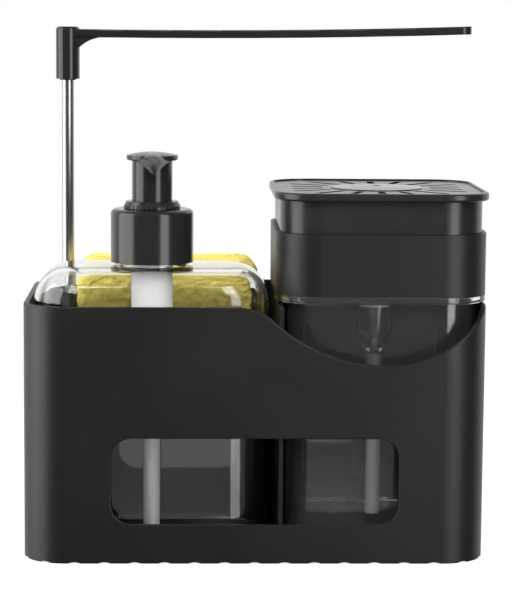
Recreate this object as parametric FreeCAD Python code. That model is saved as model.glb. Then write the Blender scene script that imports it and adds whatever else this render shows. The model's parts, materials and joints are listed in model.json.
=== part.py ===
import FreeCAD, Part
import math
import os

from FreeCAD import Vector

# Soap pump caddy, in millimetres.
# X runs to the right along the front, Y to the rear and Z up.
# The origin is the middle of the footprint, on the surface that the caddy stands on.

# General clearances
overrun = 5.0
seat_gap = 0.25
slip_gap = 0.35
running_gap = 0.05

# Caddy body, one moulding
rim_width = 216.0
rim_depth = 115.0
rim_height = 120.0
corner_radius = 20.0
side_wall = 2.5
rim_round = 0.8
foot_height = 1.8
foot_width = 6.0
floor_thickness = 2.5
notch_pitch = 13.8
notch_width = 6.0
notch_depth = 0.8
window_width = 133.4
window_height = 40.5
window_sill = 18.4
window_corner = 9.5
window_round = 0.5
dip_from_side = 47.5
dip_depth = 26.8
dip_left_radius = 76.5
dip_right_radius = 53.0
dip_blend_radius = 26.0
dip_front_steps = 18
dip_corner_steps = 6
dip_run_steps = 2
divider_thickness = 1.8
divider_below_rim = 1.0

# Towel rail: steel rod, moulded arm and the bush between them
rod_from_side = 16.8
rod_from_rear = 17.5
rod_radius = 3.0
rod_socket_fit = 0.1
socket_wall = 1.5
socket_below_rim = 3.5
hub_radius = 5.85
hub_above_rim = 101.5
hub_height = 25.7
hub_round = 1.6
hub_roof = 4.7
arm_past_rim = 0.8
arm_height = 4.0
arm_width = 10.0
arm_drop = 1.4
arm_rise = 2.95
arm_mid_rise = 0.4
arm_start_rise = 0.2
arm_edge_round = 0.9
gusset_length = 11.3
gusset_height = 5.0
gusset_sag = 1.1
bush_wall = 1.0
bush_proud = 0.6

# Sponge and the drain rack that it stands on
sponge_depth = 31.0
sponge_height = 70.0
sponge_above_rim = 14.95
sponge_corner = 8.0
sponge_round = 3.0
sponge_side_gap = 7.5
sponge_socket_gap = 0.6
rack_wall = 1.8
rack_deck = 2.4
rack_fence = 14.0
rack_side_gap = 0.7
rack_rear_gap = 1.0
rack_rear_room = 7.3
rack_corner = 4.0
rack_slot_width = 3.0
rack_slot_margin = 6.0
rack_slot_count = 11

# Clear soap bottle
bottle_above_rim = 16.0
bottle_corner = 22.0
bottle_shoulder = 16.0
bottle_base_round = 5.0
bottle_wall = 1.8
bottle_divider_gap = 4.5
bottle_side_gap = 2.0
bottle_front_gap = 3.0
bottle_rack_gap = 1.3
neck_radius = 17.3
neck_wall = 1.8
neck_height = 21.0

# Soap bottle pump
cap_radius = 19.5
cap_height = 25.0
cap_wall = 1.5
cap_roof = 1.7
cap_lift = 1.4
cap_round = 2.4
cap_hole_radius = 11.6
gasket_thickness = 1.0
flange_radius = 16.8
flange_thickness = 2.5
barrel_radius = 12.5
barrel_wall = 1.5
barrel_depth = 10.2
housing_radius = 9.75
housing_wall = 1.5
housing_length = 72.5
foot_cone_height = 6.0
spring_shelf = 8.0
ball_cage_radius = 4.2
ball_cage_height = 4.0
ball_seat_radius = 2.2
ball_seat_height = 3.0
nipple_radius = 5.4
nipple_length = 11.0
pump_tube_radius = 4.0
pump_tube_wall = 0.8
pump_tube_floor_gap = 4.0
pump_tube_grip = 9.0
pump_ball_radius = 3.0
lock_ring_radius = 13.4
lock_ring_top_radius = 12.2
lock_ring_height = 3.4
lock_ring_wall = 0.95
lock_ring_floor = 2.0
lock_ring_rib_count = 36
lock_ring_rib_radius = 0.45
pump_stem_radius = 3.5
stem_bore_radius = 1.8
piston_length = 8.0
pump_travel = 10.0
head_skirt_radius = 9.5
head_skirt_wall = 1.3
head_radius = 12.15
head_edge = 2.4
head_crown = 1.6
head_height = 23.2
head_socket_wall = 1.2
head_socket_length = 12.0
head_foot_room = 1.3
head_turn_share = 0.008
spout_length = 27.0
spout_root_width = 23.8
spout_tip_width = 1.6
spout_root_keel = 3.0
spout_tip_keel = 0.4
spout_sink = 0.2
spout_ridge_drop = 7.6
spout_side_rise = 0.5
spout_side_drop = 5.4
spout_bore_radius = 1.1
spout_mouth_setback = 8.0
spout_steps = 3
pump_spring_radius = 6.0
pump_spring_wire = 1.1
pump_spring_turns = 9

# Press jar: clear jar with a flange that hangs over the rim
jar_bay_gap = 9.1
jar_overhang = 3.8
jar_flange_corner = 21.0
jar_flange = 3.2
jar_wall = 2.2
jar_base = 3.0
jar_base_round = 6.0
jar_side_gap = 0.4
jar_divider_gap = 0.5
jar_rearward = 1.5
jar_rim_gap = 0.3

# Press pump: fixed deck with its collar, cylinder and everything that the tray pushes
deck_seal_thickness = 1.0
deck_seal_gap = 0.3
deck_thickness = 2.0
deck_wall = 1.8
collar_wall = 1.8
collar_height = 29.0
deck_plug_height = 4.0
deck_plug_inset = 1.3
press_travel = 12.0
tray_overhang = 0.8
tray_corner = 20.0
tray_thickness = 3.9
tray_round = 1.2
tray_over_collar = 15.3
tray_lip = 2.2
tray_recess = 0.8
skirt_wall = 2.0
skirt_gap = 0.3
skirt_inner_gap = 0.5
tray_slot_count = 18
tray_slot_width = 3.6
tray_slot_inner = 26.0
tray_slot_outer = 41.0
tray_slot_longest = 48.0
outlet_disc_radius = 22.0
outlet_disc_edge = 0.4
outlet_disc_crown = 0.7
outlet_hole_radius = 2.0
cylinder_radius = 9.05
cylinder_wall = 1.55
cylinder_flange_radius = 13.0
cylinder_flange = 2.0
cylinder_depth = 25.1
cone_height = 9.3
press_ball_radius = 3.2
press_seat_radius = 2.2
press_throat = 2.0
press_nipple_radius = 4.6
press_nipple_length = 11.0
press_tube_radius = 3.5
press_tube_wall = 1.0
press_tube_floor_gap = 4.0
press_tube_grip = 9.0
guide_radius = 13.0
guide_height = 3.0
press_stem_radius = 4.0
press_stem_bore = 1.8
press_piston_length = 8.0
press_boss_radius = 7.0
press_boss_height = 10.0
press_spring_radius = 9.3
press_spring_wire = 1.4
press_spring_turns = 7

# Levels and places that follow from the sizes above
inner_half_width = rim_width / 2 - side_wall
inner_half_depth = rim_depth / 2 - side_wall
inner_corner = corner_radius - side_wall
floor_top = foot_height + floor_thickness
stand_level = floor_top + seat_gap
dip_low = rim_height - dip_depth
dip_centre = rim_width / 2 - dip_from_side

rod_x = rod_from_side - rim_width / 2
rod_y = rim_depth / 2 - rod_from_rear
socket_right = rod_x + rod_radius + rod_socket_fit + socket_wall
hub_bottom = rim_height + hub_above_rim
hub_top = hub_bottom + hub_height
arm_length = rim_width / 2 + arm_past_rim - rod_x

jar_width = 2 * (inner_half_depth - jar_bay_gap)
collar_width = jar_width + 2 * jar_overhang
tray_width = collar_width + 2 * tray_overhang
jar_x = inner_half_width - jar_side_gap - jar_width / 2
jar_y = jar_rearward
jar_corner = jar_flange_corner - jar_overhang
jar_step = rim_height + jar_rim_gap
jar_ledge = jar_step + jar_flange
divider_right = jar_x - jar_width / 2 - jar_divider_gap
divider_left = divider_right - divider_thickness

rack_left = socket_right + rack_side_gap
rack_right = divider_left - rack_side_gap
rack_rear = inner_half_depth - rack_rear_gap
sponge_left = socket_right + sponge_socket_gap
sponge_right = divider_left - sponge_side_gap
sponge_front = rack_rear - rack_rear_room - sponge_depth
sponge_bottom = rim_height + sponge_above_rim - sponge_height
rack_front = sponge_front - seat_gap - slip_gap - rack_wall
rack_top = sponge_bottom - seat_gap

bottle_left = bottle_side_gap - inner_half_width
bottle_right = divider_left - bottle_divider_gap
bottle_front = bottle_front_gap - inner_half_depth
bottle_rear = rack_front - bottle_rack_gap
bottle_width = bottle_right - bottle_left
bottle_depth = bottle_rear - bottle_front
bottle_x = (bottle_left + bottle_right) / 2
bottle_y = (bottle_front + bottle_rear) / 2
bottle_top = rim_height + bottle_above_rim
neck_top = bottle_top + neck_height
cap_bottom = bottle_top + cap_lift
cap_top = cap_bottom + cap_height
flange_bottom = neck_top + gasket_thickness
flange_top = flange_bottom + flange_thickness
barrel_bore = barrel_radius - barrel_wall
barrel_floor = flange_top - barrel_depth
housing_bore = housing_radius - housing_wall
housing_foot = flange_top - housing_length
spring_shelf_level = housing_foot + foot_cone_height + spring_shelf - ball_cage_height
cage_floor = spring_shelf_level - ball_cage_height
seat_floor = cage_floor - ball_seat_height
nipple_bottom = housing_foot - nipple_length
lock_ring_bottom = cap_top + seat_gap
lock_ring_top = lock_ring_bottom + lock_ring_height
lock_floor = barrel_floor + seat_gap
piston_top = lock_floor - seat_gap
piston_bottom = piston_top - piston_length
head_foot = lock_floor + lock_ring_floor + pump_travel + head_foot_room
head_top = lock_ring_top + head_height
head_under = head_top - head_crown - head_edge

deck_bottom = jar_ledge + deck_seal_thickness
deck_top = deck_bottom + deck_thickness
plug_width = jar_width - 2 * (jar_wall + deck_plug_inset)
plug_corner = jar_corner - jar_wall - deck_plug_inset
collar_bottom = jar_ledge + seat_gap
collar_top = collar_bottom + collar_height
collar_bore_width = collar_width - 2 * collar_wall
collar_bore_corner = jar_flange_corner - collar_wall
skirt_width = collar_bore_width - 2 * skirt_gap
skirt_corner = collar_bore_corner - skirt_gap
skirt_bottom = deck_top + press_travel + skirt_inner_gap
tray_bottom = collar_top + tray_over_collar
tray_top = tray_bottom + tray_thickness
tray_floor = tray_top - tray_recess
cylinder_top = deck_top + cylinder_flange
cylinder_bottom = deck_top - cylinder_depth
cone_bottom = cylinder_bottom - cone_height
press_nipple_bottom = cone_bottom - press_nipple_length
guide_top = cylinder_top + guide_height
press_piston_bottom = cylinder_bottom + press_travel + skirt_inner_gap


def outline(width, depth, radius, level, x=0.0, y=0.0):
    """Closed wire of a rectangle with round corners, flat at one level."""
    a = width / 2 - radius
    b = depth / 2 - radius
    turn = math.sqrt(0.5)
    edges = []
    sides = [(1, -1), (1, 1), (-1, 1), (-1, -1)]
    for number, (sx, sy) in enumerate(sides):
        middle = Vector(x + sx * a, y + sy * b, level)
        first, last = Vector(sx, 0, 0), Vector(0, sy, 0)
        if number % 2 == 0:
            first, last = last, first
        start = middle + first * radius
        end = middle + last * radius
        crest = middle + Vector(sx, sy, 0) * (radius * turn)
        edges.append(Part.Arc(start, crest, end).toShape())
        next_x, next_y = sides[(number + 1) % len(sides)]
        following = Vector(x + next_x * a, y + next_y * b, level) + last * radius
        edges.append(Part.makeLine(end, following))
    return Part.Wire(edges)


def block(width, depth, radius, bottom, top, x=0.0, y=0.0):
    """Upright prism with round corners."""
    return Part.Face(outline(width, depth, radius, bottom, x, y)).extrude(Vector(0, 0, top - bottom))


def box(low, high):
    """Plain box between two corners."""
    return Part.makeBox(high[0] - low[0], high[1] - low[1], high[2] - low[2], Vector(*low))


def turned(profile, x, y):
    """Solid of revolution about the upright line at x, y; the profile is (radius, level) points."""
    points = [Vector(x + radius, y, level) for radius, level in profile]
    face = Part.Face(Part.makePolygon(points + points[:1]))
    return face.revolve(Vector(x, y, 0), Vector(0, 0, 1), 360)


def tube(outer, inner, bottom, top, x, y):
    """Upright round tube."""
    return turned([(inner, bottom), (outer, bottom), (outer, top), (inner, top)], x, y)


def post(radius, bottom, top, x, y):
    """Upright round bar."""
    return Part.makeCylinder(radius, top - bottom, Vector(x, y, bottom))


def crowned(radius, bottom, edge_top, top, x, y):
    """Round disc whose upper face is part of a ball."""
    crown = top - edge_top
    ball_radius = (radius * radius + crown * crown) / (2 * crown)
    ball = Part.makeSphere(ball_radius, Vector(x, y, top - ball_radius))
    return post(radius, bottom, top, x, y).common(ball)


def rounded(shape, radius, wanted):
    """The shape with a fillet on the edges that the test picks."""
    return shape.makeFillet(radius, [edge for edge in shape.Edges if wanted(edge)])


def at_level(edge, level):
    """Whether an edge lies flat at one level."""
    return all(abs(vertex.Z - level) < running_gap for vertex in edge.Vertexes) and (
        edge.BoundBox.ZLength < running_gap)


def ball_rest(radius, cone_radius, cone_level, slope):
    """Height of a ball's centre on a cone whose radius grows by slope for each unit of height."""
    touch = radius * math.sqrt(1 + slope * slope)
    return cone_level + (touch - cone_radius) / slope


def outline_place(distance):
    """Place on the foot's outline and the outward angle, from the middle of the front to the right."""
    a = rim_width / 2 - corner_radius
    b = rim_depth / 2 - corner_radius
    quarter = corner_radius * math.pi / 2
    centres = [(a, -b), (a, b), (-a, b), (-a, -b)]
    straights = [2 * b, 2 * a, 2 * b, 2 * a]
    if distance < a:
        return distance, -b - corner_radius, -math.pi / 2
    distance -= a
    for number, (x, y) in enumerate(centres):
        start = -math.pi / 2 + number * math.pi / 2
        if distance < quarter:
            angle = start + distance / corner_radius
            return x + corner_radius * math.cos(angle), y + corner_radius * math.sin(angle), angle
        distance -= quarter
        angle = start + math.pi / 2
        if distance < straights[number]:
            along = angle + math.pi / 2
            x += corner_radius * math.cos(angle) + distance * math.cos(along)
            y += corner_radius * math.sin(angle) + distance * math.sin(along)
            return x, y, angle
        distance -= straights[number]
    return 0.0, -b - corner_radius, -math.pi / 2


def foot_notches():
    """Cutters for the shallow scallops all round the foot."""
    a = rim_width / 2 - corner_radius
    b = rim_depth / 2 - corner_radius
    length = 4 * (a + b) + 2 * math.pi * corner_radius
    count = round(length / notch_pitch)
    radius = ((notch_width / 2) ** 2 + notch_depth ** 2) / (2 * notch_depth)
    reach = foot_width + 2 * overrun
    cutters = []
    for number in range(count):
        x, y, angle = outline_place(number * length / count)
        out = Vector(math.cos(angle), math.sin(angle), 0)
        start = Vector(x, y, notch_depth - radius) + out * overrun
        cutters.append(Part.makeCylinder(radius, reach, start, out * -1))
    return Part.Compound(cutters)


def dip_level(x, span):
    """Height of the rim along the flat front: full height, a blending arc and the two arcs of the dip."""
    if x > dip_centre:
        return dip_low + dip_right_radius - math.sqrt(dip_right_radius ** 2 - (x - dip_centre) ** 2)
    if x > dip_centre - span * dip_left_radius / (dip_left_radius + dip_blend_radius):
        return dip_low + dip_left_radius - math.sqrt(dip_left_radius ** 2 - (x - dip_centre) ** 2)
    along = max(x - dip_centre + span, 0)
    return rim_height - dip_blend_radius + math.sqrt(dip_blend_radius ** 2 - along ** 2)


def dip_corner_level(share, start_level, slope):
    """Height of the rim as the dip climbs round the corner, level again where the side begins."""
    rise = rim_height - start_level
    run = corner_radius * math.pi / 2
    lead = slope * run * share * (1 - share) ** 3
    return start_level + lead + rise * share * share * (3 - 2 * share)


def rim_cutters():
    """Cutters down to the rim: a loft along the front and round its right corner, flat elsewhere."""
    drop = dip_depth - dip_left_radius - dip_blend_radius
    span = math.sqrt((dip_left_radius + dip_blend_radius) ** 2 - drop ** 2)
    corner_x = rim_width / 2 - corner_radius
    corner_y = corner_radius - rim_depth / 2
    step_length = (corner_x - dip_centre + span) / dip_front_steps
    stations = []
    for step in range(-dip_run_steps, dip_front_steps):
        x = dip_centre - span + step * step_length
        stations.append((x, corner_y, 0, dip_level(x, span)))
    run = corner_x - dip_centre
    slope = run / math.sqrt(dip_right_radius ** 2 - run ** 2)
    for step in range(dip_corner_steps + 1):
        share = step / dip_corner_steps
        level = dip_corner_level(share, dip_level(corner_x, span), slope)
        stations.append((corner_x, corner_y, share * math.pi / 2, level))
    for step in range(1, dip_run_steps + 1):
        stations.append((corner_x, corner_y + step * step_length, math.pi / 2, rim_height))
    top = rim_height + 2 * overrun
    sections = []
    for x, y, angle, level in stations:
        out = Vector(math.sin(angle), -math.cos(angle), 0)
        near = Vector(x, y, level) + out * (inner_corner - overrun)
        far = Vector(x, y, level) + out * (corner_radius + overrun)
        corners = [near, far, Vector(far.x, far.y, top), Vector(near.x, near.y, top)]
        sections.append(Part.makePolygon(corners + corners[:1]))
    dip = Part.makeLoft(sections, True, False)
    edge_x, edge_y = rim_width / 2 + overrun, rim_depth / 2 + overrun
    first_x, last_y = stations[0][0], stations[-1][1]
    left = box((-edge_x, -edge_y, rim_height), (first_x, edge_y, top))
    behind = box((first_x - overrun, last_y, rim_height), (edge_x, edge_y, top))
    return [dip, left, behind]


def on_window(edge):
    """Whether an edge of the body outlines the window on either face of the front."""
    room = edge.BoundBox
    middle = window_sill + window_height / 2
    return (room.YLength < running_gap and room.ZMin > middle - window_height
            and room.ZMax < middle + window_height and room.YMax < -inner_half_depth + side_wall
            and abs(room.Center.x) < window_width / 2 + side_wall)


def on_rim(edge):
    """Whether an edge of the body follows its rim, outside or inside."""
    return edge.Length > side_wall + overrun and edge.BoundBox.ZMin > dip_low - side_wall


def caddy_body():
    """Open tray with its foot, window, low rim, divider and the socket for the rod."""
    shell = block(rim_width, rim_depth, corner_radius, 0, rim_height + overrun)
    shell = shell.cut(block(2 * inner_half_width, 2 * inner_half_depth, inner_corner,
                            floor_top, rim_height + 2 * overrun))
    window = block(window_width, window_height, window_corner, 0, side_wall + 2 * overrun)
    window.rotate(Vector(0, 0, 0), Vector(1, 0, 0), 90)
    window.translate(Vector(0, -inner_half_depth + overrun, window_sill + window_height / 2))
    shell = shell.cut(window)
    shell = rounded(shell, window_round, on_window)
    for cutter in rim_cutters():
        shell = shell.cut(cutter)
    shell = rounded(shell.removeSplitter(), rim_round, on_rim)
    shell = shell.cut(block(rim_width - 2 * foot_width, rim_depth - 2 * foot_width,
                            corner_radius - foot_width, -overrun, foot_height))
    shell = shell.cut(foot_notches())
    root = side_wall / 4
    divider = box((divider_left, -inner_half_depth - root, foot_height),
                  (divider_right, inner_half_depth + root, rim_height - divider_below_rim))
    shell = shell.fuse(divider)
    bore = rod_radius + rod_socket_fit
    socket_top = rim_height - socket_below_rim
    shell = shell.fuse(post(bore + socket_wall, foot_height, socket_top, rod_x, rod_y))
    shell = shell.cut(post(bore, floor_top, rim_height, rod_x, rod_y))
    return shell.removeSplitter()


def towel_rod():
    """Plain steel rod from the socket's floor to the roof of the arm's hub."""
    return post(rod_radius, stand_level, hub_top - hub_roof, rod_x, rod_y)


def arm_level(share):
    """Top of the arm at a share of its length, on a gentle upward bow."""
    base = hub_top - arm_drop
    return base + {0: arm_start_rise, 0.5: arm_mid_rise, 1: arm_rise}[share]


def towel_arm():
    """Hub over the rod with the long arm and its gusset."""
    hub = post(hub_radius, hub_bottom, hub_top, rod_x, rod_y)
    hub = rounded(hub, hub_round, lambda edge: at_level(edge, hub_top))
    crest = [Vector(rod_x + share * arm_length, 0, arm_level(share)) for share in (0, 0.5, 1)]
    under = [point - Vector(0, 0, arm_height) for point in crest]
    side = Part.Wire([Part.Arc(*crest).toShape(), Part.makeLine(crest[2], under[2]),
                      Part.Arc(*reversed(under)).toShape(), Part.makeLine(under[0], crest[0])])
    bar = Part.Face(side).extrude(Vector(0, arm_width, 0))
    bar.translate(Vector(0, rod_y - arm_width / 2, 0))
    plan_bottom = hub_bottom
    plan_top = hub_top + arm_rise + overrun
    plan = block(2 * arm_length, arm_width, arm_width / 2 - running_gap,
                 plan_bottom, plan_top, rod_x, rod_y)
    bar = rounded(bar, arm_edge_round, lambda edge: edge.BoundBox.XLength > arm_length / 2)
    bar = bar.common(plan)
    start = Vector(rod_x + hub_radius, 0, arm_level(0) - arm_height)
    corner = Vector(rod_x, 0, start.z + arm_height / 2)
    foot = Vector(start.x, 0, start.z - gusset_height)
    heel = Vector(rod_x, 0, foot.z)
    tip = Vector(start.x + gusset_length, 0, start.z)
    tip_up = Vector(tip.x, 0, corner.z)
    slope = Vector(tip.x - foot.x, 0, tip.z - foot.z).normalize()
    crown = (foot + tip) * 0.5 + Vector(-slope.z, 0, slope.x) * gusset_sag
    web = Part.Wire([Part.makeLine(heel, foot), Part.Arc(foot, crown, tip).toShape(),
                     Part.makeLine(tip, tip_up), Part.makeLine(tip_up, corner),
                     Part.makeLine(corner, heel)])
    web_width = arm_width - 2 * arm_edge_round
    gusset = Part.Face(web).extrude(Vector(0, web_width, 0))
    gusset.translate(Vector(0, rod_y - web_width / 2, 0))
    arm = hub.fuse([bar, gusset])
    bore = rod_radius + running_gap + bush_wall
    arm = arm.cut(post(bore, hub_bottom - overrun, hub_top - hub_roof + seat_gap, rod_x, rod_y))
    return arm.removeSplitter()


def arm_bush():
    """Thin sleeve between the hub and the rod."""
    inner = rod_radius + running_gap
    return tube(inner + bush_wall, inner, hub_bottom - bush_proud, hub_top - hub_roof, rod_x, rod_y)


def sponge():
    """Block of cellulose sponge that stands on its long edge."""
    width = sponge_right - sponge_left
    solid = block(width, sponge_height, sponge_corner, 0, sponge_depth)
    solid = rounded(solid, sponge_round, lambda edge: at_level(edge, 0) or at_level(edge, sponge_depth))
    solid.rotate(Vector(0, 0, 0), Vector(1, 0, 0), 90)
    solid.translate(Vector((sponge_left + sponge_right) / 2, sponge_front + sponge_depth,
                           sponge_bottom + sponge_height / 2))
    return solid


def sponge_rack():
    """Open-bottomed stand with a slotted deck and a low fence towards the bottle."""
    width, depth = rack_right - rack_left, rack_rear - rack_front
    x, y = (rack_left + rack_right) / 2, (rack_front + rack_rear) / 2
    inside = [width - 2 * rack_wall, depth - 2 * rack_wall, rack_corner - rack_wall]
    stand = block(width, depth, rack_corner, floor_top, rack_top + rack_fence, x, y)
    stand = stand.cut(block(*inside, floor_top, rack_top - rack_deck, x, y))
    stand = stand.cut(block(*inside, rack_top, rack_top + rack_fence, x, y))
    behind = box((rack_left - overrun, rack_front + rack_wall, rack_top),
                 (rack_right + overrun, rack_rear + overrun, rack_top + rack_fence + overrun))
    stand = stand.cut(behind)
    slot_depth = depth - 2 * (rack_wall + rack_slot_margin)
    step = (width - 2 * (rack_wall + rack_slot_margin)) / (rack_slot_count - 1)
    slots = []
    for number in range(rack_slot_count):
        slot_x = rack_left + rack_wall + rack_slot_margin + number * step
        slots.append(block(rack_slot_width, slot_depth, rack_slot_width / 2 - running_gap,
                           rack_top - rack_deck - overrun, rack_top + overrun, slot_x, y))
    return stand.cut(Part.Compound(slots)).removeSplitter()


def bottle_skin(inset):
    """Outer or inner form of the bottle, drawn in by an inset."""
    bottom = stand_level + inset
    top = bottle_top - inset
    form = block(bottle_width - 2 * inset, bottle_depth - 2 * inset, bottle_corner - inset,
                 bottom, top, bottle_x, bottle_y)
    form = rounded(form, bottle_shoulder - inset, lambda edge: at_level(edge, top))
    return rounded(form, bottle_base_round - inset, lambda edge: at_level(edge, bottom))


def soap_bottle():
    """Clear bottle with broad rounded shoulders and a wide neck."""
    neck = post(neck_radius, bottle_top - bottle_wall, neck_top, bottle_x, bottle_y)
    bottle = bottle_skin(0).fuse(neck).cut(bottle_skin(bottle_wall))
    bore = post(neck_radius - neck_wall, bottle_top - overrun, neck_top + overrun, bottle_x, bottle_y)
    return bottle.cut(bore)


def bottle_gasket():
    """Flat seal on the rim of the neck."""
    return tube(neck_radius, neck_radius - neck_wall, neck_top, flange_bottom, bottle_x, bottle_y)


def pump_cap():
    """Screw cap that clamps the pump on the neck."""
    cap = post(cap_radius, cap_bottom, cap_top, bottle_x, bottle_y)
    cap = rounded(cap, cap_round, lambda edge: at_level(edge, cap_top))
    cap = cap.cut(post(cap_radius - cap_wall, cap_bottom - overrun, cap_top - cap_roof, bottle_x, bottle_y))
    return cap.cut(post(cap_hole_radius, cap_bottom, cap_top + overrun, bottle_x, bottle_y))


def pump_housing():
    """White pump body: flange, wide barrel, long cylinder, ball cage and tube nipple."""
    tube_bore = pump_tube_radius
    profile = [
        (barrel_bore, flange_top), (flange_radius, flange_top), (flange_radius, flange_bottom),
        (barrel_radius, flange_bottom), (barrel_radius, barrel_floor - housing_wall),
        (housing_radius, barrel_floor - housing_wall), (housing_radius, housing_foot + foot_cone_height),
        (nipple_radius, housing_foot), (nipple_radius, nipple_bottom), (tube_bore, nipple_bottom),
        (tube_bore, seat_floor - housing_wall), (ball_seat_radius, seat_floor - housing_wall),
        (ball_seat_radius, seat_floor), (ball_cage_radius, cage_floor),
        (ball_cage_radius, spring_shelf_level), (housing_bore, spring_shelf_level),
        (housing_bore, barrel_floor), (barrel_bore, barrel_floor),
    ]
    return turned(profile, bottle_x, bottle_y)


def pump_ball():
    """Inlet check ball on its seat."""
    slope = (ball_cage_radius - ball_seat_radius) / ball_seat_height
    level = ball_rest(pump_ball_radius, ball_seat_radius, seat_floor, slope) + running_gap
    return Part.makeSphere(pump_ball_radius, Vector(bottle_x, bottle_y, level))


def pump_dip_tube():
    """Clear suction tube down to the bottle's floor."""
    bottom = stand_level + bottle_wall + pump_tube_floor_gap
    top = nipple_bottom + pump_tube_grip
    return tube(pump_tube_radius, pump_tube_radius - pump_tube_wall, bottom, top, bottle_x, bottle_y)


def pump_lock_ring():
    """Ribbed ring on top of the cap; its sleeve guides the head and its floor holds the piston down."""
    bore = head_skirt_radius + slip_gap
    sleeve = bore + lock_ring_wall
    profile = [
        (pump_stem_radius + slip_gap, lock_floor), (sleeve, lock_floor), (sleeve, lock_ring_bottom),
        (lock_ring_radius, lock_ring_bottom), (lock_ring_radius, lock_ring_bottom + lock_ring_height / 3),
        (lock_ring_top_radius, lock_ring_top), (bore, lock_ring_top),
        (bore, lock_floor + lock_ring_floor), (pump_stem_radius + slip_gap, lock_floor + lock_ring_floor),
    ]
    ring = turned(profile, bottle_x, bottle_y)
    ribs = []
    for number in range(lock_ring_rib_count):
        angle = number / lock_ring_rib_count * 2 * math.pi
        x = bottle_x + lock_ring_radius * math.cos(angle)
        y = bottle_y + lock_ring_radius * math.sin(angle)
        ribs.append(post(lock_ring_rib_radius, lock_ring_bottom - overrun, lock_ring_top + overrun, x, y))
    return ring.cut(Part.Compound(ribs))


def pump_stem():
    """Hollow stem from the piston up into the head."""
    top = head_under
    return tube(pump_stem_radius, stem_bore_radius, piston_bottom, top, bottle_x, bottle_y)


def pump_piston():
    """Piston with a waist, pressed on the foot of the stem."""
    outer = housing_bore - running_gap
    waist = outer - housing_wall
    lip = piston_length / 4
    profile = [
        (pump_stem_radius, piston_bottom), (outer, piston_bottom), (outer, piston_bottom + lip),
        (waist, piston_bottom + lip), (waist, piston_top - lip), (outer, piston_top - lip),
        (outer, piston_top), (pump_stem_radius, piston_top),
    ]
    return turned(profile, bottle_x, bottle_y)


def spout_section(share):
    """Closed section of the beak at a share of its length, arched above and below."""
    y = bottle_y - spout_length * share
    side = (spout_root_width + (spout_tip_width - spout_root_width) * share) / 2
    keel = spout_root_keel + (spout_tip_keel - spout_root_keel) * share
    ridge = head_top - spout_sink - spout_ridge_drop * share ** 3
    level = head_under + spout_side_rise - spout_side_drop * share * share
    left = Vector(bottle_x - side, y, level)
    right = Vector(bottle_x + side, y, level)
    over = Part.Arc(left, Vector(bottle_x, y, ridge), right).toShape()
    under = Part.Arc(right, Vector(bottle_x, y, level - keel), left).toShape()
    return Part.Wire([over, under])


def pump_head():
    """Press head: skirt, crowned disc, stem socket and a drooping beak whose mouth opens downwards."""
    edge_top = head_under + head_edge
    skirt_top = head_under + head_edge / 2
    hub = post(head_skirt_radius, head_foot, skirt_top, bottle_x, bottle_y)
    disc = crowned(head_radius, head_under, edge_top, head_top, bottle_x, bottle_y)
    disc = rounded(disc, head_edge / 3, lambda edge: at_level(edge, head_under))
    sections = [spout_section(number / spout_steps) for number in range(spout_steps + 1)]
    beak = Part.makeLoft(sections, True, False)
    head = disc.fuse(hub).fuse(beak)
    hollow = tube(head_skirt_radius - head_skirt_wall, pump_stem_radius + running_gap + head_socket_wall,
                  head_foot - overrun, head_under - spout_root_keel, bottle_x, bottle_y)
    below_socket = post(head_skirt_radius - head_skirt_wall, head_foot - overrun,
                        head_under - head_socket_length, bottle_x, bottle_y)
    stem_room = post(pump_stem_radius + running_gap, head_foot - overrun, head_under,
                     bottle_x, bottle_y)
    start = Vector(bottle_x, bottle_y, head_under + spout_bore_radius)
    section = spout_section(1 - spout_mouth_setback / spout_length).BoundBox
    end = Vector(bottle_x, section.Center.y, section.Center.z)
    reach = end - start
    channel = Part.makeCylinder(spout_bore_radius, reach.Length, start, reach)
    mouth = post(spout_bore_radius, section.ZMin - overrun, end.z, bottle_x, end.y)
    well = post(stem_bore_radius, head_under - overrun, start.z + stem_bore_radius, bottle_x, bottle_y)
    head = head.cut([hollow, below_socket, stem_room, channel, mouth, well])
    head.rotate(Vector(bottle_x, bottle_y, 0), Vector(0, 0, 1), head_turn_share * 360)
    return head


def helix_point(radius, bottom, pitch, turns, x, y):
    """Point and direction on a spring's centre line after some turns."""
    angle = turns * 2 * math.pi
    point = Vector(x + radius * math.cos(angle), y + radius * math.sin(angle), bottom + pitch * turns)
    heading = Vector(-radius * math.sin(angle), radius * math.cos(angle), pitch / (2 * math.pi))
    return point, heading.normalize()


def tangent_arc(start, control, end):
    """Arc from start to end whose tangents meet at the control point."""
    weight = (control - start).normalize().dot((end - start).normalize())
    middle = (start + control * (2 * weight) + end) * (1 / (2 + 2 * weight))
    return Part.Arc(start, middle, end).toShape()


def spring(name, radius, wire, bottom, top, turns, x, y):
    """Round-wire compression spring as one unbroken tube on pairs of arcs."""
    low = bottom + wire / 2 + seat_gap
    pitch = (top - bottom - wire - 2 * seat_gap) / turns
    edges = []
    places = []
    for quarter in range(4 * turns):
        start, heading = helix_point(radius, low, pitch, quarter / 4, x, y)
        end, leaving = helix_point(radius, low, pitch, (quarter + 1) / 4, x, y)
        chord = end - start
        both = heading + leaving
        bend = 2 * (1 - heading.dot(leaving))
        along = chord.dot(both)
        reach = (-along + math.sqrt(along * along + bend * chord.dot(chord))) / bend
        first = start + heading * reach
        second = end - leaving * reach
        joint = (first + second) * 0.5
        edges.append(tangent_arc(start, first, joint))
        edges.append(tangent_arc(joint, second, end))
        places.append((quarter, start))
    gap = min((p - q).Length for i, p in places for j, q in places if j - i >= 2) - wire
    print(name, "least gap to itself", round(gap, 2), "mm")
    start, heading = helix_point(radius, low, pitch, 0, x, y)
    section = Part.Wire([Part.makeCircle(wire / 2, start, heading)])
    return Part.Wire(edges).makePipeShell([section], True, False)


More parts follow.
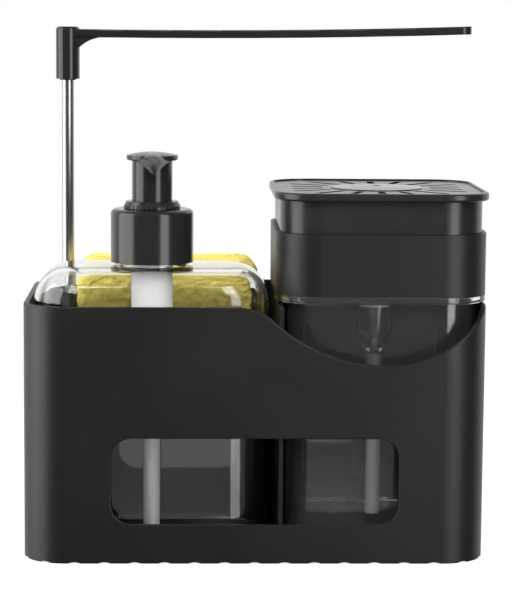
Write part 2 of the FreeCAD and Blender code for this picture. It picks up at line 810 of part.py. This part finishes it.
def pump_spring():
    """Return spring under the soap pump's piston."""
    return spring("pump_spring", pump_spring_radius, pump_spring_wire, spring_shelf_level,
                  piston_bottom, pump_spring_turns, bottle_x, bottle_y)


def jar_form(width, radius, bottom, top):
    """Square form round the jar's axis."""
    return block(width, width, radius, bottom, top, jar_x, jar_y)


def press_jar():
    """Clear jar that stands in its bay, with a flange above the caddy's rim."""
    lower = jar_form(jar_width, jar_corner, stand_level, jar_step + jar_flange / 2)
    lower = rounded(lower, jar_base_round, lambda edge: at_level(edge, stand_level))
    flange = jar_form(collar_width, jar_flange_corner, jar_step, jar_ledge)
    flange = rounded(flange, jar_flange / 4, lambda edge: at_level(edge, jar_step))
    bore_floor = stand_level + jar_base
    bore = jar_form(jar_width - 2 * jar_wall, jar_corner - jar_wall, bore_floor, jar_ledge + overrun)
    bore = rounded(bore, jar_base_round - jar_wall, lambda edge: at_level(edge, bore_floor))
    return lower.fuse(flange).cut(bore).removeSplitter()


def deck_seal():
    """Flat seal between the jar's flange and the pump deck."""
    ring = jar_form(skirt_width, skirt_corner, jar_ledge, deck_bottom)
    inner = plug_width + 2 * deck_seal_gap
    hole = jar_form(inner, plug_corner + deck_seal_gap, jar_ledge - overrun, deck_bottom + overrun)
    return ring.cut(hole)


def pump_deck():
    """Fixed black deck that closes the jar: collar, plate and the plug in the jar's mouth."""
    collar = jar_form(collar_width, jar_flange_corner, collar_bottom, collar_top)
    collar = collar.cut(jar_form(collar_bore_width, collar_bore_corner,
                                 collar_bottom - overrun, collar_top + overrun))
    plate = jar_form(collar_bore_width + collar_wall, collar_bore_corner + collar_wall / 2,
                     deck_bottom, deck_top)
    plug = jar_form(plug_width, plug_corner, deck_bottom - deck_plug_height, deck_top - deck_thickness / 2)
    plug = plug.cut(jar_form(plug_width - 2 * deck_wall, plug_corner - deck_wall,
                             deck_bottom - deck_plug_height - overrun, deck_bottom))
    deck = plate.fuse([collar, plug])
    hole = post(cylinder_radius + running_gap, deck_bottom - overrun, deck_top + overrun, jar_x, jar_y)
    return deck.cut(hole).removeSplitter()


def press_cylinder():
    """Pump cylinder under the deck, with its cone, ball seat and tube nipple."""
    bore = cylinder_radius - cylinder_wall
    seat = cone_bottom + press_throat
    profile = [
        (bore, cylinder_top), (cylinder_flange_radius, cylinder_top), (cylinder_flange_radius, deck_top),
        (cylinder_radius, deck_top), (cylinder_radius, cylinder_bottom),
        (press_nipple_radius, cone_bottom), (press_nipple_radius, press_nipple_bottom),
        (press_tube_radius, press_nipple_bottom), (press_tube_radius, cone_bottom),
        (press_seat_radius, cone_bottom), (press_seat_radius, seat), (bore, cylinder_bottom),
    ]
    return turned(profile, jar_x, jar_y)


def press_ball():
    """Inlet check ball of the press pump."""
    bore = cylinder_radius - cylinder_wall
    seat = cone_bottom + press_throat
    slope = (bore - press_seat_radius) / (cylinder_bottom - seat)
    level = ball_rest(press_ball_radius, press_seat_radius, seat, slope) + running_gap
    return Part.makeSphere(press_ball_radius, Vector(jar_x, jar_y, level))


def press_dip_tube():
    """Clear suction tube down to the jar's floor."""
    bottom = stand_level + jar_base + press_tube_floor_gap
    top = press_nipple_bottom + press_tube_grip
    return tube(press_tube_radius, press_tube_radius - press_tube_wall, bottom, top, jar_x, jar_y)


def stem_guide():
    """Ring on the cylinder's flange that guides the stem and carries the spring."""
    return tube(guide_radius, press_stem_radius + slip_gap, cylinder_top, guide_top, jar_x, jar_y)


def press_stem():
    """Hollow stem from the press piston up to the outlet."""
    return tube(press_stem_radius, press_stem_bore, press_piston_bottom, tray_floor, jar_x, jar_y)


def press_piston():
    """Piston of the press pump, with a waist between its two lips."""
    outer = cylinder_radius - cylinder_wall - running_gap
    waist = outer - cylinder_wall
    lip = press_piston_length / 4
    top = press_piston_bottom + press_piston_length
    profile = [
        (press_stem_radius, press_piston_bottom), (outer, press_piston_bottom),
        (outer, press_piston_bottom + lip), (waist, press_piston_bottom + lip), (waist, top - lip),
        (outer, top - lip), (outer, top), (press_stem_radius, top),
    ]
    return turned(profile, jar_x, jar_y)


def tray_slots():
    """Cutters for the sunburst of slots round the outlet."""
    cutters = []
    for number in range(tray_slot_count):
        angle = number / tray_slot_count * 2 * math.pi
        square = max(abs(math.sin(angle)), abs(math.cos(angle)))
        outer = min(tray_slot_outer / square, tray_slot_longest)
        length = outer - tray_slot_inner
        slot = block(tray_slot_width, length, tray_slot_width / 2 - running_gap,
                     tray_bottom - overrun, tray_top + overrun, jar_x, jar_y + tray_slot_inner + length / 2)
        slot.rotate(Vector(jar_x, jar_y, 0), Vector(0, 0, 1), math.degrees(angle))
        cutters.append(slot)
    return Part.Compound(cutters)


def press_tray():
    """Square tray that a sponge presses down, with the skirt that slides in the deck's collar."""
    plate = jar_form(tray_width, tray_corner, tray_bottom, tray_top)
    plate = rounded(plate, tray_round, lambda edge: at_level(edge, tray_top) or at_level(edge, tray_bottom))
    recess = jar_form(tray_width - 2 * tray_lip, tray_corner - tray_lip, tray_floor, tray_top + overrun)
    plate = plate.cut(recess)
    middle = tray_floor - tray_recess / 2
    skirt = jar_form(skirt_width, skirt_corner, skirt_bottom, middle)
    inner_width = skirt_width - 2 * skirt_wall
    skirt = skirt.cut(jar_form(inner_width, skirt_corner - skirt_wall, skirt_bottom - overrun, tray_bottom))
    boss = post(press_boss_radius, tray_bottom - press_boss_height, middle, jar_x, jar_y)
    tray = plate.fuse([skirt, boss]).cut(tray_slots())
    hole = post(press_stem_radius, tray_bottom - press_boss_height - overrun, tray_top, jar_x, jar_y)
    return tray.cut(hole).removeSplitter()


def outlet_disc():
    """Low crowned disc in the middle of the tray, with the soap outlet."""
    edge_top = tray_floor + outlet_disc_edge
    crown_top = edge_top + outlet_disc_crown
    disc = crowned(outlet_disc_radius, tray_floor, edge_top, crown_top, jar_x, jar_y)
    return disc.cut(post(outlet_hole_radius, tray_floor - overrun, crown_top + overrun, jar_x, jar_y))


def press_spring():
    """Return spring round the press pump's stem, between the guide and the tray."""
    return spring("press_spring", press_spring_radius, press_spring_wire, guide_top, tray_bottom,
                  press_spring_turns, jar_x, jar_y)


pieces = [
    caddy_body, towel_rod, towel_arm, arm_bush, sponge, sponge_rack,
    soap_bottle, bottle_gasket, pump_cap, pump_housing, pump_ball, pump_dip_tube, pump_lock_ring,
    pump_stem, pump_piston, pump_head, pump_spring,
    press_jar, deck_seal, pump_deck, press_cylinder, press_ball, press_dip_tube, stem_guide,
    press_stem, press_piston, press_tray, outlet_disc, press_spring,
]

os.makedirs("parts", exist_ok=True)
for piece in pieces:
    shape = piece()
    shape.exportStep(f"parts/{piece.__name__}.step")
    print(piece.__name__, len(shape.Solids), "solid", shape.isValid(), round(shape.Volume), "mm3")
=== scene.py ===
import json
import math

import bmesh
import bpy
from mathutils import Matrix, Vector, noise

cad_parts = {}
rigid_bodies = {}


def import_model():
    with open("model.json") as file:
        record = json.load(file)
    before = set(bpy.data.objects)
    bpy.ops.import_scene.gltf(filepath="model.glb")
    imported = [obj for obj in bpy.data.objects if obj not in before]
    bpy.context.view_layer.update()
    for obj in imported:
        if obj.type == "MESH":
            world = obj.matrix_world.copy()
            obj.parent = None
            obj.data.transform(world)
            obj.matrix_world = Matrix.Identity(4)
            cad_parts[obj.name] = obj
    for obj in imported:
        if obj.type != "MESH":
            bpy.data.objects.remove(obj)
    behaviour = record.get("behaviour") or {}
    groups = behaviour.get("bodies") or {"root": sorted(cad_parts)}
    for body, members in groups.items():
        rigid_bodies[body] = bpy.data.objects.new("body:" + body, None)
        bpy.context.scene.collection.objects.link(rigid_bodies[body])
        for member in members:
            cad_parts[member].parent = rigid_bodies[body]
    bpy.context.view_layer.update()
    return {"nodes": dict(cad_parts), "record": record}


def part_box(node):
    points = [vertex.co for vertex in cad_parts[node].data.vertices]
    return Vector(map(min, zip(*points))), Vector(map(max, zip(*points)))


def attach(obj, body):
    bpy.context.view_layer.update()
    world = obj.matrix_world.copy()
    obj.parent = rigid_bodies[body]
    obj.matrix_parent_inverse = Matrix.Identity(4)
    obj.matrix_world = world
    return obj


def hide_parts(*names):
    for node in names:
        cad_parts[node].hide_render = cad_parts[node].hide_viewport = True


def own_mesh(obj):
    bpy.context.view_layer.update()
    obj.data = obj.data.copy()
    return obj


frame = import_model()
scene = bpy.context.scene

# Camera
# A long lens about a metre in front of the caddy, at the height of the towel arm,
# looking slightly down and a touch to the right.
camera_place = (-0.0329, -1.0723, 0.2511)
pitch, yaw, roll = math.radians(7.036), math.radians(1.8375), math.radians(0.458)
camera = bpy.data.objects.new("camera", bpy.data.cameras.new("camera"))
scene.collection.objects.link(camera)
camera.data.sensor_width = 36
camera.data.lens = 136.03
forward = Vector((math.sin(yaw) * math.cos(pitch), math.cos(yaw) * math.cos(pitch), -math.sin(pitch)))
level = Vector((math.cos(yaw), -math.sin(yaw), 0))
upright = level.cross(forward)
right = level * math.cos(roll) + upright * math.sin(roll)
up = upright * math.cos(roll) - level * math.sin(roll)
camera.matrix_world = Matrix.Translation(camera_place) @ Matrix((right, up, -forward)).transposed().to_4x4()
scene.camera = camera

# Studio
# A pale round floor that fades out away from the caddy, and a bright room that is dimmer behind the
# camera. Two tall boxes at the sides give the streaks on the rounded corners, and two high ones in
# front light the sponge and the tray without showing in the gloss.
floor_radius = 1.6
fade_start = 0.12
fade_end = 0.6
floor_glow = 0.6
side_box_level = 0.45
side_box_height = 1.5
side_boxes = (("left_box", -1.17, -0.25, 1.1, 18), ("right_box", 0.66, -1.0, 0.5, 9))
front_box_depth = -1.0
front_box_level = 1.4
front_box_aim = 0.15
front_box_width = 0.7
front_box_height = 0.9
front_box_power = 20
front_boxes = (("front_left_box", -0.56), ("front_right_box", 0.44))
scene.view_settings.view_transform = "Standard"


def node_maker(tree):
    """Short way to add a node with values on its sockets and links into them."""
    def make(kind, values=None, links=None, **settings):
        node = tree.nodes.new(kind)
        for key, value in settings.items():
            setattr(node, key, value)
        for key, value in (values or {}).items():
            node.inputs[key].default_value = value
        for key, socket in (links or {}).items():
            tree.links.new(socket, node.inputs[key])
        return node
    return make


def new_material(name):
    """Empty node material and a maker of its nodes."""
    material = bpy.data.materials.new(name)
    material.use_nodes = True
    material.node_tree.nodes.clear()
    return material, node_maker(material.node_tree)


def place_object(name, data):
    """New object at the origin of the scene."""
    thing = bpy.data.objects.new(name, data)
    scene.collection.objects.link(thing)
    return thing


mesh = bmesh.new()
bmesh.ops.create_circle(mesh, cap_ends=True, segments=96, radius=floor_radius)
floor_mesh = bpy.data.meshes.new("studio_floor")
mesh.to_mesh(floor_mesh)
mesh.free()
floor = place_object("studio_floor", floor_mesh)
floor.visible_glossy = False
floor_paper, make = new_material("floor_paper")
place = make("ShaderNodeTexCoord").outputs["Object"]
fibre = make("ShaderNodeTexNoise", {"Scale": 60.0, "Detail": 4.0}, {"Vector": place})
tone = make("ShaderNodeMapRange", {"To Min": 0.48, "To Max": 0.52}, {"Value": fibre.outputs["Fac"]})
paper = make("ShaderNodeBsdfDiffuse", links={"Color": tone.outputs["Result"]})
ray = make("ShaderNodeLightPath")
seen = make("ShaderNodeMath", {1: floor_glow}, {0: ray.outputs["Is Camera Ray"]}, operation="MULTIPLY")
backlight = make("ShaderNodeEmission", {"Color": (1, 1, 1, 1)}, {"Strength": seen.outputs[0]})
lit = make("ShaderNodeAddShader", links={0: paper.outputs[0], 1: backlight.outputs[0]})
reach = make("ShaderNodeVectorMath", links={0: place}, operation="LENGTH")
fade = make("ShaderNodeMapRange", {"From Min": fade_start, "From Max": fade_end},
            {"Value": reach.outputs["Value"]}, interpolation_type="SMOOTHSTEP")
clear = make("ShaderNodeBsdfTransparent")
blend = make("ShaderNodeMixShader", links={0: fade.outputs["Result"], 1: lit.outputs[0], 2: clear.outputs[0]})
make("ShaderNodeOutputMaterial", links={"Surface": blend.outputs[0]})
floor_mesh.materials.append(floor_paper)

room = bpy.data.worlds.new("room")
scene.world = room
room.use_nodes = True
room.node_tree.nodes.clear()
make = node_maker(room.node_tree)
facing = make("ShaderNodeSeparateXYZ", links={0: make("ShaderNodeTexCoord").outputs["Generated"]})


def room_light(dimmest):
    """Brightness of the room: full behind the caddy, falling to the dimmest behind the camera."""
    return make("ShaderNodeMapRange", {"From Min": 0.15, "From Max": 0.55, "To Min": dimmest, "To Max": 1.0},
                {"Value": facing.outputs["Y"]}, interpolation_type="SMOOTHSTEP").outputs["Result"]


# Clear plastic shows a room whose front is brighter than the one that gloss shows, and what lies
# behind clear plastic is lit by a brighter room still. The camera sees plain white.
ray = make("ShaderNodeLightPath").outputs
behind = make("ShaderNodeMath", links={0: ray["Diffuse Depth"], 1: ray["Is Transmission Ray"]},
              operation="MULTIPLY", use_clamp=True)
shown = make("ShaderNodeMix", links={"Factor": ray["Is Transmission Ray"], "A": room_light(0.07),
                                     "B": room_light(0.3)})
lifted = make("ShaderNodeMix", {"B": 1.6}, {"Factor": behind.outputs[0], "A": shown.outputs["Result"]})
glow = make("ShaderNodeMix", {"B": 1.0}, {"Factor": ray["Is Camera Ray"], "A": lifted.outputs["Result"]})
light = make("ShaderNodeBackground", {"Color": (1, 1, 1, 1)}, {"Strength": glow.outputs["Result"]})
make("ShaderNodeOutputWorld", links={"Surface": light.outputs[0]})


def soft_box(name, place, aim_level, width, height, power):
    """Rectangular area light that faces the caddy's axis at some level."""
    lamp = bpy.data.lights.new(name, "AREA")
    lamp.shape = "RECTANGLE"
    lamp.size = width
    lamp.size_y = height
    lamp.energy = power
    box = place_object(name, lamp)
    box.location = place
    box.rotation_euler = (Vector((0, 0, aim_level)) - Vector(place)).to_track_quat("-Z", "Y").to_euler()
    return box


for name, across, depth, width, power in side_boxes:
    soft_box(name, (across, depth, side_box_level), side_box_level, width, side_box_height, power)
for name, across in front_boxes:
    box = soft_box(name, (across, front_box_depth, front_box_level), front_box_aim,
                   front_box_width, front_box_height, front_box_power)
    box.visible_glossy = False

# Caddy body and drain rack
# The shell is one satin black polypropylene moulding with a fine spark-eroded grain; the rack is a
# second moulding of the same stuff that drops in behind the bottle.


def grain_group():
    """Shared moulded skin: a height for the bump and a slow tone for colour and roughness."""
    group = bpy.data.node_groups.new("moulded_skin", "ShaderNodeTree")
    face = group.interface
    face.new_socket("Grain Size", in_out="INPUT", socket_type="NodeSocketFloat")
    face.new_socket("Height", in_out="OUTPUT", socket_type="NodeSocketFloat")
    face.new_socket("Tone", in_out="OUTPUT", socket_type="NodeSocketFloat")
    make = node_maker(group)
    given = make("NodeGroupInput")
    place = make("ShaderNodeTexCoord").outputs["Object"]
    fine = make("ShaderNodeTexNoise", {"Detail": 3.0, "Roughness": 0.6},
                {"Vector": place, "Scale": given.outputs["Grain Size"]})
    slow = make("ShaderNodeTexNoise", {"Scale": 20.0, "Detail": 5.0, "Roughness": 0.55}, {"Vector": place})
    make("NodeGroupOutput", links={"Height": fine.outputs["Fac"], "Tone": slow.outputs["Fac"]})
    return group


moulded_skin = grain_group()


def moulded(name, colours, roughness, grain, depth):
    """Moulded plastic: two near colours and two roughnesses that drift over it, and a fine grain."""
    material, make = new_material(name)
    skin = make("ShaderNodeGroup", node_tree=moulded_skin)
    skin.inputs["Grain Size"].default_value = grain
    tone = skin.outputs["Tone"]
    drift = make("ShaderNodeMapRange", {"From Min": 0.35, "From Max": 0.65}, {"Value": tone})
    first, second = colours
    colour = make("ShaderNodeMix", {"A": (*first, 1), "B": (*second, 1)},
                  {"Factor": drift.outputs["Result"]}, data_type="RGBA")
    smooth, dull = roughness
    rough = make("ShaderNodeMapRange", {"From Min": 0.3, "From Max": 0.7, "To Min": smooth, "To Max": dull},
                 {"Value": tone})
    bump = make("ShaderNodeBump", {"Strength": depth, "Distance": 0.0001}, {"Height": skin.outputs["Height"]})
    shader = make("ShaderNodeBsdfPrincipled", links={"Base Color": colour.outputs["Result"],
                                                     "Roughness": rough.outputs["Result"],
                                                     "Normal": bump.outputs["Normal"]})
    make("ShaderNodeOutputMaterial", links={"Surface": shader.outputs[0]})
    return material


def finish(material, *names):
    """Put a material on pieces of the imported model."""
    for name in names:
        frame["nodes"][name].material_slots[0].material = material


satin_black = moulded("satin_black", ((0.0055, 0.0058, 0.0055), (0.007, 0.0073, 0.007)),
                      (0.4, 0.47), 2600.0, 0.25)
finish(satin_black, "caddy_body", "sponge_rack")

# Towel rail
# A bright drawn steel rod with a gloss black nylon arm that turns on it; the sleeve that shows under
# the hub is the same nylon. The steel also serves the valve balls of both pumps.
polished_steel, make = new_material("polished_steel")
place = make("ShaderNodeTexCoord").outputs["Object"]
stretch = make("ShaderNodeMapping", {"Scale": (1400.0, 1400.0, 12.0)}, {"Vector": place})
lines = make("ShaderNodeTexNoise", {"Scale": 1.0, "Detail": 3.0}, {"Vector": stretch.outputs[0]})
rough = make("ShaderNodeMapRange", {"To Min": 0.22, "To Max": 0.38}, {"Value": lines.outputs["Fac"]})
bump = make("ShaderNodeBump", {"Strength": 0.12, "Distance": 0.0001}, {"Height": lines.outputs["Fac"]})
shader = make("ShaderNodeBsdfPrincipled", {"Base Color": (0.45, 0.45, 0.455, 1), "Metallic": 1.0},
              {"Roughness": rough.outputs["Result"], "Normal": bump.outputs["Normal"]})
make("ShaderNodeOutputMaterial", links={"Surface": shader.outputs[0]})
finish(polished_steel, "towel_rod", "pump_ball", "press_ball")

gloss_black = moulded("gloss_black", ((0.0125, 0.0125, 0.0125), (0.015, 0.015, 0.0145)),
                      (0.14, 0.2), 500.0, 0.05)
finish(gloss_black, "towel_arm", "arm_bush")

# Sponge
# A block of yellow cellulose sponge, cut with round corners and washed soft, that stands on the rack.
# Its skin is full of open cells of many sizes, from pinholes to pits of a few millimetres.
corner_radius = 0.0095
edge_radius = 0.003
cell_size = 0.00065
hollow_density = 55
hollow_depth = 0.0006
warp_density = 260
warp_shift = 0.0012
warp_offset = Vector((7, 3, 1))
pit_kinds = ((170, 0.0011), (420, 0.0007), (800, 0.0004))
pit_spread = 1.9
pit_power = 0.7
low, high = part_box("sponge")
size = high - low
mesh = bmesh.new()
bmesh.ops.create_cube(mesh, size=1)
bmesh.ops.scale(mesh, vec=size, verts=mesh.verts)
along = [edge for edge in mesh.edges if abs(edge.verts[0].co.y - edge.verts[1].co.y) > size.y / 2]
bmesh.ops.bevel(mesh, geom=along, affect="EDGES", offset=corner_radius, segments=8, profile=0.5, material=-1)
rims = [edge for edge in mesh.edges if edge.verts[0].co.y * edge.verts[1].co.y > 0]
bmesh.ops.bevel(mesh, geom=rims, affect="EDGES", offset=edge_radius, segments=5, profile=0.5, material=-1)
bmesh.ops.translate(mesh, vec=(low + high) / 2, verts=mesh.verts)
block_mesh = bpy.data.meshes.new("sponge_block")
mesh.to_mesh(block_mesh)
mesh.free()
block = place_object("sponge_block", block_mesh)
cells = block.modifiers.new("cells", "REMESH")
cells.mode = "VOXEL"
cells.voxel_size = cell_size
sponge_mesh = bpy.data.meshes.new_from_object(block.evaluated_get(bpy.context.evaluated_depsgraph_get()))
sponge_mesh.name = "yellow_sponge"
bpy.data.objects.remove(block)


def pit_depth(point):
    """How far the skin sinks at a point: slow hollows, round pits and pinholes."""
    depth = hollow_depth * (0.5 + 0.5 * noise.noise(point * hollow_density))
    sway = point * warp_density
    aside = Vector((noise.noise(sway), noise.noise(sway + warp_offset), 0)) * warp_shift
    for density, deepest in pit_kinds:
        near = noise.voronoi((point + aside) * density)[0][0]
        depth += deepest * max(0.0, 1 - near * pit_spread) ** pit_power
    return depth


mesh = bmesh.new()
mesh.from_mesh(sponge_mesh)
mesh.normal_update()
sunk = [vert.co - vert.normal * pit_depth(vert.co) for vert in mesh.verts]
for vert, place in zip(mesh.verts, sunk):
    vert.co = place
for face in mesh.faces:
    face.smooth = True
mesh.to_mesh(sponge_mesh)
mesh.free()
sponge = place_object("yellow_sponge", sponge_mesh)
yellow_sponge, make = new_material("yellow_sponge")
place = make("ShaderNodeTexCoord").outputs["Object"]
cells = make("ShaderNodeTexVoronoi", {"Scale": 900.0}, {"Vector": place})
patch = make("ShaderNodeTexNoise", {"Scale": 120.0, "Detail": 4.0, "Roughness": 0.6}, {"Vector": place})
# Painted shade in the pores: the colour darkens towards the centre of each small cell, where the bump sinks
# the skin into a pit.
pore_shade = make("ShaderNodeMapRange", {"From Min": 0.0, "From Max": 0.35, "To Min": 1.0, "To Max": 0.0},
             {"Value": cells.outputs["Distance"]})
mottle = make("ShaderNodeMapRange", {"From Min": 0.35, "From Max": 0.7}, {"Value": patch.outputs["Fac"]})
shade = make("ShaderNodeMath", {1: 0.55}, {0: mottle.outputs["Result"]}, operation="MULTIPLY")
# The darker yellow stands for painted shade in the pores and also carries the sponge's own slow mottle of
# tone; the light yellow is the open face.
both = make("ShaderNodeMath", links={0: pore_shade.outputs["Result"], 1: shade.outputs[0]}, operation="MAXIMUM")
colour = make("ShaderNodeMix", {"A": (0.88, 0.74, 0.17, 1), "B": (0.66, 0.50, 0.06, 1)},
              {"Factor": both.outputs[0]}, data_type="RGBA")
bump = make("ShaderNodeBump", {"Strength": 0.5, "Distance": 0.0004}, {"Height": cells.outputs["Distance"]})
shader = make("ShaderNodeBsdfPrincipled", {"Roughness": 0.9, "Specular IOR Level": 0.2},
              {"Base Color": colour.outputs["Result"], "Normal": bump.outputs["Normal"]})
make("ShaderNodeOutputMaterial", links={"Surface": shader.outputs[0]})
sponge_mesh.materials.append(yellow_sponge)
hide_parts("sponge")
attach(sponge, "sponge")

# Soap bottle, jar and their suction tubes
# A clear blow-moulded bottle and a thicker clear injection-moulded jar with a slight haze. Each stands
# in its bay, with a milky tube that hangs from its pump; the press pump's cylinder is clear too.


def clear_plastic(name, tint, roughness, wave, depth, clarity=1.0):
    """Clear plastic with a faint flow line here and there; a clarity under one leaves a haze."""
    material, make = new_material(name)
    skin = make("ShaderNodeGroup", node_tree=moulded_skin)
    skin.inputs["Grain Size"].default_value = wave
    bump = make("ShaderNodeBump", {"Strength": depth, "Distance": 0.0002}, {"Height": skin.outputs["Height"]})
    shader = make("ShaderNodeBsdfPrincipled", {"Base Color": (*tint, 1), "Roughness": roughness, "IOR": 1.49,
                                               "Metallic": 0.0, "Transmission Weight": clarity},
                  {"Normal": bump.outputs["Normal"]})
    make("ShaderNodeOutputMaterial", links={"Surface": shader.outputs[0]})
    return material


clear_bottle = clear_plastic("clear_bottle", (0.97, 0.975, 0.975), 0.03, 60.0, 0.03)
finish(clear_bottle, "soap_bottle")
hazy_jar = clear_plastic("hazy_jar", (0.93, 0.94, 0.935), 0.05, 60.0, 0.03, clarity=0.99)
finish(hazy_jar, "press_jar")
clear_cylinder = clear_plastic("clear_cylinder", (0.9, 0.91, 0.91), 0.12, 200.0, 0.1)
finish(clear_cylinder, "press_cylinder")

milky_plastic, make = new_material("milky_plastic")
skin = make("ShaderNodeGroup", node_tree=moulded_skin)
skin.inputs["Grain Size"].default_value = 300.0
haze = make("ShaderNodeMapRange", {"To Min": 0.3, "To Max": 0.42}, {"Value": skin.outputs["Tone"]})
bump = make("ShaderNodeBump", {"Strength": 0.1, "Distance": 0.0001}, {"Height": skin.outputs["Height"]})
shader = make("ShaderNodeBsdfPrincipled", {"Base Color": (0.9, 0.91, 0.9, 1), "IOR": 1.5, "Metallic": 0.0,
                                           "Transmission Weight": 0.55},
              {"Roughness": haze.outputs["Result"], "Normal": bump.outputs["Normal"]})
make("ShaderNodeOutputMaterial", links={"Surface": shader.outputs[0]})
finish(milky_plastic, "pump_dip_tube", "press_dip_tube")

# Soap pump
# Gloss black cap, ribbed lock ring and head, moulded in polypropylene, on a white housing that hangs
# in the bottle's neck. White stems and pistons run in both pumps, and grey rubber seals both vessels.
finish(gloss_black, "pump_cap", "pump_lock_ring", "pump_head")
white_plastic = moulded("white_plastic", ((0.78, 0.78, 0.76), (0.82, 0.82, 0.8)), (0.35, 0.45), 900.0, 0.1)
finish(white_plastic, "pump_housing", "pump_stem", "pump_piston", "press_stem", "press_piston")
grey_rubber = moulded("grey_rubber", ((0.5, 0.5, 0.48), (0.55, 0.55, 0.53)), (0.6, 0.7), 1200.0, 0.2)
finish(grey_rubber, "bottle_gasket", "deck_seal")

# Return springs
# A coiled steel wire spring in each pump. Each is a steel copy of its CAD node's mesh that takes the node's
# place on its pump's parent body.
for joint in frame["record"]["behaviour"]["joints"]:
    for wire in joint.get("deforming_nodes", []):
        node = wire["node"]
        spring_mesh = frame["nodes"][node].data.copy()
        spring_mesh.materials.clear()
        spring_mesh.materials.append(polished_steel)
        spring = place_object(node + "_coil", spring_mesh)
        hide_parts(node)
        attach(spring, joint["parent"])
        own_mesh(spring)

# Press pump and tray
# The deck's black band has the shell's satin grain. The tray above it is gloss black and a little
# worn by the sponge, with a gloss disc over its outlet and a guide for its stem under it.
finish(satin_black, "pump_deck")
finish(gloss_black, "stem_guide", "outlet_disc")
worn_gloss = moulded("worn_gloss", ((0.0125, 0.0125, 0.0125), (0.016, 0.016, 0.0155)),
                     (0.22, 0.3), 500.0, 0.05)
finish(worn_gloss, "press_tray")
